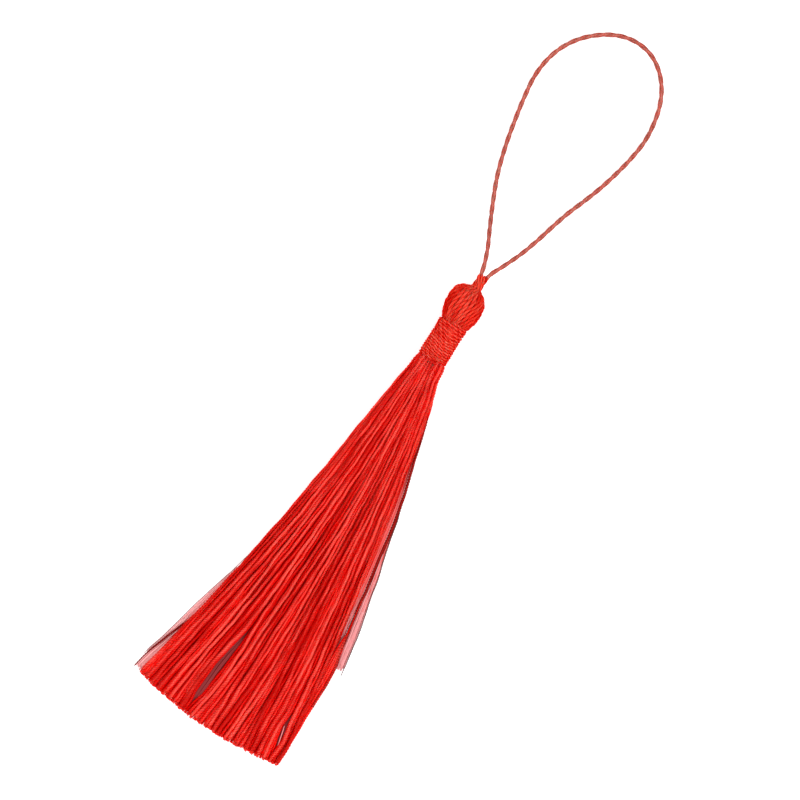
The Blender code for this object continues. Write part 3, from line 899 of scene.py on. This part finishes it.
class Skirt:
    """Where each thread lies. Threads are numbered from left to right."""

    def __init__(self):
        random = np.random.default_rng(SEED)
        number = np.arange(THREADS)
        # They are spread evenly over the area of a round bundle.
        fine = np.linspace(-1, 1, 2001)
        area = 0.5 + (fine * np.sqrt(1 - fine**2) + np.arcsin(fine)) / math.pi
        self.across = np.interp((number + 0.5) / THREADS, area, fine)
        self.chord = np.sqrt(1 - self.across**2)
        self.level = (number * GOLDEN + FIRST_LEVEL) % 1
        self.layer = np.searchsorted(LAYER_SHARES, self.level)
        self.rank = np.zeros(THREADS)
        for layer in range(TOP_LAYER + 1):
            chosen = self.layer == layer
            self.rank[chosen] = np.linspace(-1, 1, chosen.sum())
        self.sway = random.uniform(*SWAYS, THREADS)
        self.sway[self.layer == TOP_LAYER] *= TOP_SWAY
        self.wave = random.uniform(*SWAY_WAVES, THREADS)
        self.phase = random.uniform(0, FULL_TURN, THREADS)
        self.short = random.uniform(0, 1, THREADS) ** 2 * CUT_UNEVEN
        wave = np.sin(number * CUT_WAVE_TURN + CUT_DRIFT * np.sin(number * CUT_DRIFT_TURN))
        self.short += CUT_WAVE * (1 - np.abs(wave) ** CUT_WAVE_POWER)

    def wanted(self, below):
        """Each thread's place before it is pushed clear of its neighbours, and the limits it keeps to."""
        row = skirt_rows(np.array([below]))
        half = thread_radius(below)
        settled = smooth_step(below, SETTLE_START, SETTLE_END)
        sunk = smooth_step(below, FIRST_STATION, SINK_END)
        middle = (row.left + row.right) / 2
        reach = (row.right - row.left) / 2 - half
        share = (1 - settled) * self.across + settled * self.rank
        x = middle + reach * share
        loose = smooth_step(below, SWAY_START, SWAY_FULL)
        x += loose * self.sway * (1 - share**2) * np.sin(FULL_TURN * below / self.wave + self.phase)
        disc = row.lift + row.height / 2 + (2 * self.level - 1) * (row.height / 2 - half) * self.chord
        heap = row.lift + half + self.level * (row.height - 2 * half) * self.chord
        layers = half + self.layer * LAYER_RISE
        z = (1 - settled) * ((1 - sunk) * disc + sunk * heap) + settled * layers
        return np.stack((x, z), axis=1), row.left + half, row.right - half, row.lift + half

    def pushed_clear(self, places, below, low, high, floor):
        """Threads that come too near each other are pushed apart along the line between them."""
        crowded = CROWDED * (1 - smooth_step(below, FIRST_STATION, CROWDED_END))
        need = THREAD_ROOM - crowded
        for _ in range(PUSHES):
            apart = places[:, None] - places[None]
            distance = np.linalg.norm(apart, axis=2)
            np.fill_diagonal(distance, need)
            short = np.clip(need - distance, 0, None)
            places = places + PUSH_SHARE * (apart * (short / distance)[..., None]).sum(axis=1)
            places[:, 0] = np.clip(places[:, 0], low, high)
            places[:, 1] = np.maximum(places[:, 1], floor)
        return places

    def follow(self):
        """Every thread's place at every station, found in short steps from the binding down."""
        shares = (np.arange(STATIONS + 1) / STATIONS) ** STATION_SPREAD
        stations = FIRST_STATION + (SKIRT_LENGTH - FIRST_STATION) * shares
        moved = 0.0
        before = stations[0]
        found = []
        for station in stations:
            for below in np.linspace(before, station, PUSH_STEPS + 1)[1:]:
                places, low, high, floor = self.wanted(below)
                clear = self.pushed_clear(places + moved, below, low, high, floor)
                moved = KEPT_PUSH * (clear - places)
            found.append(clear)
            before = station
        found = np.array(found)
        for _ in range(SMOOTHINGS):
            found[1:-1] = (found[:-2] + 2 * found[1:-1] + found[2:]) / 4
        return stations, found


def cut_place(x):
    """Distance below the binding at which a thread would be cut without the small waves."""
    return SKIRT_LENGTH - CUT_BOW * (x - CUT_MIDDLE) ** 2


def light_round(places, radius, below):
    """How much light reaches the threads of one cross-section from each direction round them, as a share of
    what reaches the top of a thread that lies alone on the floor."""
    turn = FULL_TURN * np.arange(DIRECTIONS) / DIRECTIONS
    outward = np.stack((np.sin(turn), np.cos(turn)), axis=1)
    heading = FULL_TURN * (np.arange(RAYS) + 0.5) / RAYS
    rays = np.stack((np.cos(heading), np.sin(heading)), axis=1)
    weight = np.clip(outward @ rays.T, 0, None) * np.where(rays[:, 1] > 0, 1.0, FLOOR_SHARE)
    bed = np.stack([bed_line(share, np.array([below])) for share in np.linspace(-1, 1, BED_THREADS)])[..., 0]
    others = np.concatenate((places, bed))
    other_radius = np.repeat((radius, BED_RADIUS), (len(places), len(bed)))
    near = np.linalg.norm(places[:, None] - others[None], axis=2).argsort(axis=1)[:, 1 : NEAR_THREADS + 1]
    start = places[:, None] + radius * outward[None]
    gap = others[near][:, None] - start[:, :, None]
    ahead = gap @ rays.T
    missed = (gap**2).sum(axis=3)[..., None] - ahead**2
    hit = ((ahead > 0) & (missed < other_radius[near][:, None, :, None] ** 2)).any(axis=2)
    return (~hit * weight).sum(axis=2) / weight[0].sum()


def banded(below, x):
    """How much darker a thread is painted along it: in the bands, near the skirt's foot, and along its edges,
    as painted shade.
    """
    row = skirt_rows(below)
    place = (x - row.left) / (row.right - row.left) * BAND_WIDTH
    edge = np.exp(-np.minimum(x - row.left, row.right - x) / EDGE_REACH)
    total = FOOT_BAND * smooth_step(below, FOOT_START, SETTLE_END) + EDGE_SHADE * edge
    for band in BANDS:
        total += band.share * np.sin(FULL_TURN * (place / band.across + below / band.below) + band.phase)
    return total


def thread_line(stations, places):
    """Rows of distance below the binding, x and z, with the thread's root under the binding."""
    x, z = places[0]
    rows = [(root.below, x * root.share, AXIS_HEIGHT + (z - AXIS_HEIGHT) * root.share) for root in ROOTS]
    return np.array(rows + [(below, *place) for below, place in zip(stations, places)])


def wobble(random, below, waves=WOBBLES):
    """A small irregular sway from several waves of random phase."""
    total = np.zeros_like(below)
    for wave, size in waves:
        length = wave * random.uniform(*WOBBLE_WAVES)
        total += size * np.sin(FULL_TURN * below / length + random.uniform(0, FULL_TURN))
    return total


def make_skirt(material, bed_material):
    skirt = Skirt()
    stations, places = skirt.follow()
    # Painted shade: threads are painted deeper where less light reaches them past their neighbours.
    light = [light_round(across, thread_radius(below), below) for below, across in zip(stations, places)]
    depth = 1 - smooth_step(np.array(light), LIGHT_LEAST, LIGHT_MOST)
    random = np.random.default_rng(SEED + 1)
    outline = plied(PLIES, PLY_POINTS, PLY_GROOVE)
    tubes = [Tubes() for _ in range(SKIRT_PIECES)]
    ends = Tubes()
    for thread in range(THREADS):
        line = thread_line(stations, places[:, thread])
        tip = cut_place(places[-1, thread, 0]) + CUT_BEYOND - skirt.short[thread] - FRAY_LENGTH
        below = np.linspace(ROOTS[0].below, tip, round((tip - ROOTS[0].below) / (THREAD_LAY / RINGS_PER_LAY)))
        points = smooth_curve(line[:, 0], line, below)
        radius = thread_radius(below) * random.uniform(*THICKNESSES)
        if skirt.layer[thread] == TOP_LAYER:
            radius = radius * TOP_THICKER
        points[:, 1] += wobble(random, below)
        points[:, 2] += wobble(random, below)
        points[:, 2] = np.maximum(points[:, 2], radius)
        across = opened(below, points[:, 1], radius)
        path = np.stack((across, BINDING_FOOT - below, points[:, 2]), axis=1)
        lay = THREAD_LAY * random.uniform(*LAYS)
        turn = FULL_TURN * run_along(path) / lay + random.uniform(0, FULL_TURN)
        tone = random.normal(0, 1)
        deep = np.stack([np.interp(below, stations, column) for column in depth[:, thread].T], axis=1)
        # Bands, and painted shade along the skirt's edges.
        band = banded(below, across)
        tubes[thread % SKIRT_PIECES].add(path, UPWARD, radius, outline, turn, tone, deep, band)
        add_fray(ends, random, path, turn[-1], tone, deep[-1, 0])
    made = [collected.piece(f"skirt_threads_{number}", material) for number, collected in enumerate(tubes, 1)]
    made.append(ends.piece("skirt_cut_ends", material))
    made.append(make_bed(bed_material))
    return made


def add_fray(ends, random, path, turn, tone, low):
    """The plies of a cut thread come apart in its last stretch."""
    tip = path[-1]
    onward = unit(tip - path[-RINGS_PER_LAY])
    side = unit(np.cross(onward, UPWARD))
    up = np.cross(side, onward)
    share = np.linspace(0, 1, FRAY_POINTS)
    for ply in range(PLIES):
        angle = turn + FULL_TURN * ply / PLIES + share * random.uniform(*FRAY_TURNS)
        apart = FRAY_START + share**FRAY_BEND * FRAY_OUT * random.uniform(*FRAY_OUTS)
        reach = (FRAY_LENGTH + FRAY_INSIDE) * random.uniform(*FRAY_LENGTHS) * share - FRAY_INSIDE
        line = tip + onward * reach[:, None]
        line = line + (np.cos(angle)[:, None] * up + np.sin(angle)[:, None] * -side) * apart[:, None]
        radius = FRAY_RADIUS * (1 - FRAY_TAPER * share)
        line[:, 2] = np.maximum(line[:, 2], radius)
        ends.add(line, UPWARD, radius, plain(6), 0.0, tone, low)


def bed_line(share, below):
    """Places x and z of a plain thread under the others. share runs from -1, at the left, to 1."""
    row = skirt_rows(below)
    x = (row.left + row.right) / 2 + ((row.right - row.left) / 2 - BED_RADIUS - BED_INSET) * share
    settled = smooth_step(below, SETTLE_START, SETTLE_END)
    heap = row.lift + row.height * (0.5 + 0.5 * math.sqrt(1 - BED_ROUND * share**2)) - BED_DEPTH
    return x, np.maximum((1 - settled) * heap + settled * BED_SETTLED, BED_RADIUS)


def make_bed(material):
    """Plain threads side by side through the middle of the skirt, seen only in the gaps of the others."""
    tubes = Tubes()
    random = np.random.default_rng(SEED + 4)
    foot = SKIRT_ROWS[-1]
    for share in np.linspace(-1, 1, BED_THREADS):
        tip = ((foot.left + foot.right) / 2 + (foot.right - foot.left) / 2 * share) * MM
        below = np.linspace(BED_START, cut_place(tip) - BED_SHORT, BED_RINGS)
        x, z = bed_line(share, below)
        path = np.stack((opened(below, x, BED_RADIUS), BINDING_FOOT - below, z), axis=1)
        # Painted deep, as painted shade under the other threads.
        tubes.add(path, UPWARD, BED_RADIUS, plain(6), 0.0, random.normal(0, 1), 1.0)
    return tubes.piece("skirt_bed_threads", material)


# ---- loose threads ----


def loose_height(below, radius):
    """Height of a loose thread's middle: down from the bundle's side, then up on the skirt's edge."""
    row = skirt_rows(below)
    down = smooth_step(below, DOWN_FROM, DOWN_TO)
    height = np.maximum((1 - down) * (row.lift + row.height * 0.5) + down * LOOSE_HEIGHT, radius)
    return height + RAISED * smooth_step(below, RAISED_FROM, FAN_FROM)


def add_loose(tubes, random, points, depth, number=0):
    """A twisted thread through a table's points, or the number-th beside it in a fan."""
    table = np.array(points) * MM
    count = round((table[-1, 0] - table[0, 0]) / (THREAD_LAY / RINGS_PER_LAY))
    below = np.linspace(table[0, 0], table[-1, 0], count)
    _, x, radius = smooth_curve(table[:, 0], table, below).T
    x = x - number * EDGE_FAN * smooth_step(below, FAN_FROM, FAN_TO) + wobble(random, below) * LOOSE_WOBBLE
    z = loose_height(below, radius) + number * EDGE_STEP
    path = np.stack((x, BINDING_FOOT - below, z), axis=1)
    turn = FULL_TURN * run_along(path) / THREAD_LAY
    tubes.add(path, UPWARD, radius, plied(PLIES, PLY_POINTS, PLY_GROOVE), turn, random.normal(0, 1), depth)


def make_loose(edge_material):
    random = np.random.default_rng(SEED + 5)
    paints = {paint: silk(*colours, THREAD_LAY, glow=0.0) for paint, colours in LOOSE_SILKS.items()}
    edge, dark, grey = Tubes(), Tubes(), Tubes()
    for tubes, sides in ((dark, (RIGHT_THREAD, LEFT_THREAD)), (grey, (RIGHT_FILAMENT, LEFT_FILAMENT))):
        for points in sides:
            add_loose(tubes, random, points, LOOSE_DEPTH)
    for number in range(EDGE_THREADS):
        add_loose(edge, random, EDGE_THREAD, EDGE_DEPTH, number)
    made = [
        edge.piece("loose_edge_thread", edge_material),
        dark.piece("loose_side_threads", paints["dark"]),
        grey.piece("loose_outer_filaments", paints["grey"]),
    ]
    for name, paint, chosen in veils():
        fibres = Tubes()
        for veil in chosen:
            add_veil(fibres, random, veil)
        made.append(fibres.piece(name, paints[paint]))
    return made


def veils():
    """Each veil piece's name, the silk it is made of, and its veils, beside the skirt and in its openings."""
    right_edge = [(row.below, row.right - VEIL_INSET) for row in SKIRT_ROWS[2:]]
    left_edge = [(row.below, row.left + VEIL_INSET) for row in SKIRT_ROWS[2:]]
    rims = [
        [(row.below, row.x + side * (row.half + RIM_INSET)) for row in opening]
        for opening in OPENINGS for side in (-1, 1)
    ]
    beside = [(point.below, point.x - point.radius) for point in RIGHT_THREAD]
    topped = [(below, x + WISP_WIDTH) for below, x in WISP]
    return (
        ("left_fibres", "pale", (
            Veil(left_edge, LEFT_FILAMENT, 45.0, 57.0, 9, 0.5),
            Veil(LEFT_THREAD, LEFT_FILAMENT, 56.0, 63.6, 6, 0.5),
            Veil(left_edge, LEFT_THREAD, 56.5, 66.8, 12, 0.5),
        )),
        ("right_fibres", "rose", (
            Veil(right_edge, beside, 39.0, 48.0, 12, 0.6, stagger=9.0),
            Veil(RIGHT_THREAD, RIGHT_FILAMENT, 33.0, 49.9, 12, 0.4, stagger=9.0),
            Veil(WISP, topped, 61.0, 66.7, 2, 1.75, WISP_RADIUS),
        )),
        ("upper_fibres", "blush", (
            Veil(right_edge, beside, 9.0, 45.0, 5, 0.55),
            Veil(RIGHT_THREAD, RIGHT_FILAMENT, 26.0, 40.0, 8, 0.35),
        )),
        # Dark fibres that stand in for the shade down in the openings: painted shade.
        ("opening_fibres", "shaded", (
            Veil(rims[0], rims[1], 51.0, 67.8, 12, 0.75, SHADED_RADIUS),
            Veil(rims[2], rims[3], 57.0, 67.4, 8, 0.75, SHADED_RADIUS),
        )),
    )


def across_at(below, points):
    """Places across of a line, which stays at its end's place beyond either end."""
    table = np.array(points) * MM
    return smooth_curve(table[:, 0], table, np.clip(below, table[0, 0], table[-1, 0]))[:, 1]


def add_veil(fibres, random, veil):
    """Fibres side by side between two lines, each swaying a little across its share of the way."""
    for fibre in range(veil.fibres):
        start = (veil.starts + veil.stagger * random.uniform(*VEIL_STARTS)) * MM
        end = (veil.ends - random.uniform(0.0, VEIL_SHORT)) * MM
        below = np.linspace(start, end, round((end - start) / VEIL_STEP))
        near, far = across_at(below, veil.inner), across_at(below, veil.outer)
        share = (fibre + random.uniform(*VEIL_PLACES)) / veil.fibres + wobble(random, below, VEIL_WAVES)
        x = near + (far - near) * np.clip(share, *VEIL_LIMITS)
        z = np.maximum(veil.height * random.uniform(*VEIL_HEIGHTS), veil.radius) * MM
        path = np.stack((x, BINDING_FOOT - below, np.full_like(x, z)), axis=1)
        fibres.add(path, UPWARD, veil.radius * MM, plain(4), 0.0, random.normal(0, 1))


# ---- head ----


def make_head(material):
    random = np.random.default_rng(SEED + 2)
    tubes = Tubes()
    outline = plied(HEAD_PLIES, HEAD_PLY_POINTS, HEAD_GROOVE)
    for thread in range(HEAD_THREADS):
        stub = thread % STUB_EVERY == 0
        table = np.array(HEAD_ROWS + (STUB_ROWS if stub else DIVE_ROWS)) * MM
        places = run_along(table[:, :2])
        fine = np.linspace(0, places[-1], round(places[-1] / (HEAD_LAY / HEAD_RINGS_PER_LAY)))
        drop, out, radius, shift = smooth_curve(places, table, fine).T
        turned = HEAD_SLANT * smooth_step(fine, 0, SLANT_LENGTH)
        if stub:
            turned = turned - STUB_TURN * smooth_step(-drop, STUB_TURN_FROM, STUB_TURN_TO)
        uneven = random.uniform(-HEAD_UNEVEN, HEAD_UNEVEN)
        angle = FULL_TURN * (thread + uneven) / HEAD_THREADS - turned
        angle = angle + HEAD_SWAY * np.sin(fine / MM * HEAD_SWAY_TURN + random.uniform(0, ANY_PHASE))
        z = np.maximum(AXIS_HEIGHT + out * np.sin(angle), radius)
        path = np.stack((shift + out * np.cos(angle), HEAD_TOP - drop, z), axis=1)
        facing = np.stack((np.cos(angle), np.full_like(angle, HEAD_TILT), np.sin(angle)), axis=1)
        turn = FULL_TURN * fine / HEAD_LAY + random.uniform(0, ANY_PHASE)
        # Painted shade where the threads turn away to the sides.
        painted_rim = rim_shade(np.cos(angle))
        tubes.add(path, facing, radius, outline, turn, random.normal(0, 1), HEAD_DEPTH, painted_rim, HEAD_STEEP_SHARE)
    drop, out, _, shift = (np.array(HEAD_ROWS)[-2::-1] * MM).T
    core = np.stack((shift, HEAD_TOP - drop, np.full_like(drop, AXIS_HEIGHT)), axis=1)
    # The core is painted deep, as painted shade in the gaps between the threads.
    tubes.add(core, UPWARD, out - HEAD_CORE, plain(24), low=1.0)
    return [tubes.piece("head_folded_threads", material)]


# ---- binding ----


def dip(angle):
    """How far a turn lies below its ends at an angle from the front, positive to the right: a shallow V."""
    angle = (angle + math.pi) % FULL_TURN - math.pi
    across = np.sin(np.clip(angle, -math.pi / 2, math.pi / 2))
    point = math.sin(DIP_PLACE)
    left = DIP_LEFT * (across + 1) / (point + 1)
    right = DIP_LEFT - DIP_RIGHT * (across - point) / (1 - point)
    front = np.minimum(left, right)
    behind = np.abs(angle) > math.pi / 2
    rest = (np.abs(angle) - math.pi / 2) / (math.pi / 2)
    side = np.where(angle > 0, DIP_LEFT - DIP_RIGHT, 0.0)
    return np.where(behind, side + ((DIP_LEFT - DIP_RIGHT) / 2 - side) * rest, front)


def make_binding(material):
    random = np.random.default_rng(SEED + 3)
    tubes = Tubes()
    share = np.linspace(0, 1, BINDING_TURNS * BINDING_STEPS)
    angle = FULL_TURN * BINDING_TURNS * share
    along = BINDING_TOP - BINDING_THREAD - (BINDING_LENGTH - 2 * BINDING_THREAD) * share
    knots = random.normal(0, 1, (BINDING_TURNS + 2, 3))
    uneven = smooth_curve(np.arange(BINDING_TURNS + 2.0), knots, share * BINDING_TURNS)
    depth = smooth_step(share, 0.0, DIP_GROWN) * (1 - DIP_FADED * smooth_step(share, DIP_FADES, 1.0))
    turned = (angle + math.pi) % FULL_TURN / FULL_TURN
    slope = (dip(angle) - (DIP_LEFT - DIP_RIGHT) * turned) * depth
    loose = 1 - smooth_step(share, WANDER_FROM, WANDER_TO)
    along = along - slope + loose * WANDER_ALONG * uneven[:, 0] * np.sin(angle + uneven[:, 1])
    out = BINDING_OUT + BINDING_WAIST * (2 * share - 1) ** 2 + WANDER_OUT * uneven[:, 2]
    tuck = TUCK_TURN / BINDING_TURNS
    out = out - BINDING_TUCK * (1 - smooth_step(share, 0.0, tuck) * (1 - smooth_step(share, 1 - tuck, 1.0)))
    path = np.stack((BINDING_SHIFT + out * np.sin(angle), along, AXIS_HEIGHT + out * np.cos(angle)), axis=1)
    facing = np.stack((np.sin(angle), np.zeros_like(angle), np.cos(angle)), axis=1)
    turn = FULL_TURN * run_along(path) / BINDING_LAY
    outline = plied(BINDING_PLIES, BINDING_PLY_POINTS, BINDING_GROOVE)
    # Painted shade where the turns turn away to the sides.
    painted_rim = rim_shade(np.sin(angle))
    tubes.add(path, facing, BINDING_THREAD, outline, turn, uneven[:, 1], BINDING_DEPTH, painted_rim)
    ends = (BINDING_FOOT + NECK_START, BINDING_TOP)
    neck = np.array([(BINDING_SHIFT, end, AXIS_HEIGHT) for end in ends])
    # The neck under the turns is painted deep, as painted shade between them.
    tubes.add(evenly(neck, NECK_STEP), UPWARD, NECK_RADIUS, plain(32), low=1.0)
    return [tubes.piece("binding_wound_thread", material)]


def main():
    look_down()
    make_loop()
    make_stage()
    red = silk("tassel_thread_silk", SILK_LIGHT, None, PLIES, THREAD_LAY)
    bed = silk("under_thread_silk", SILK_LIGHT, None, PLIES, THREAD_LAY)
    deepening = HEAD_DEEPENING
    folded = silk("head_thread_silk", HEAD_LIGHT, None, HEAD_PLIES, HEAD_LAY, deepening=deepening)
    wound = silk("binding_thread_silk", WOUND_LIGHT, None, BINDING_PLIES, BINDING_LAY, deepening=deepening)
    hank = make_skirt(red, bed) + make_head(folded) + make_loose(red)
    for piece in hank:
        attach(piece, "root")
    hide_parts("tassel_hank")
    for piece in make_binding(wound):
        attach(piece, "root")
        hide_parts("neck_binding")


main()
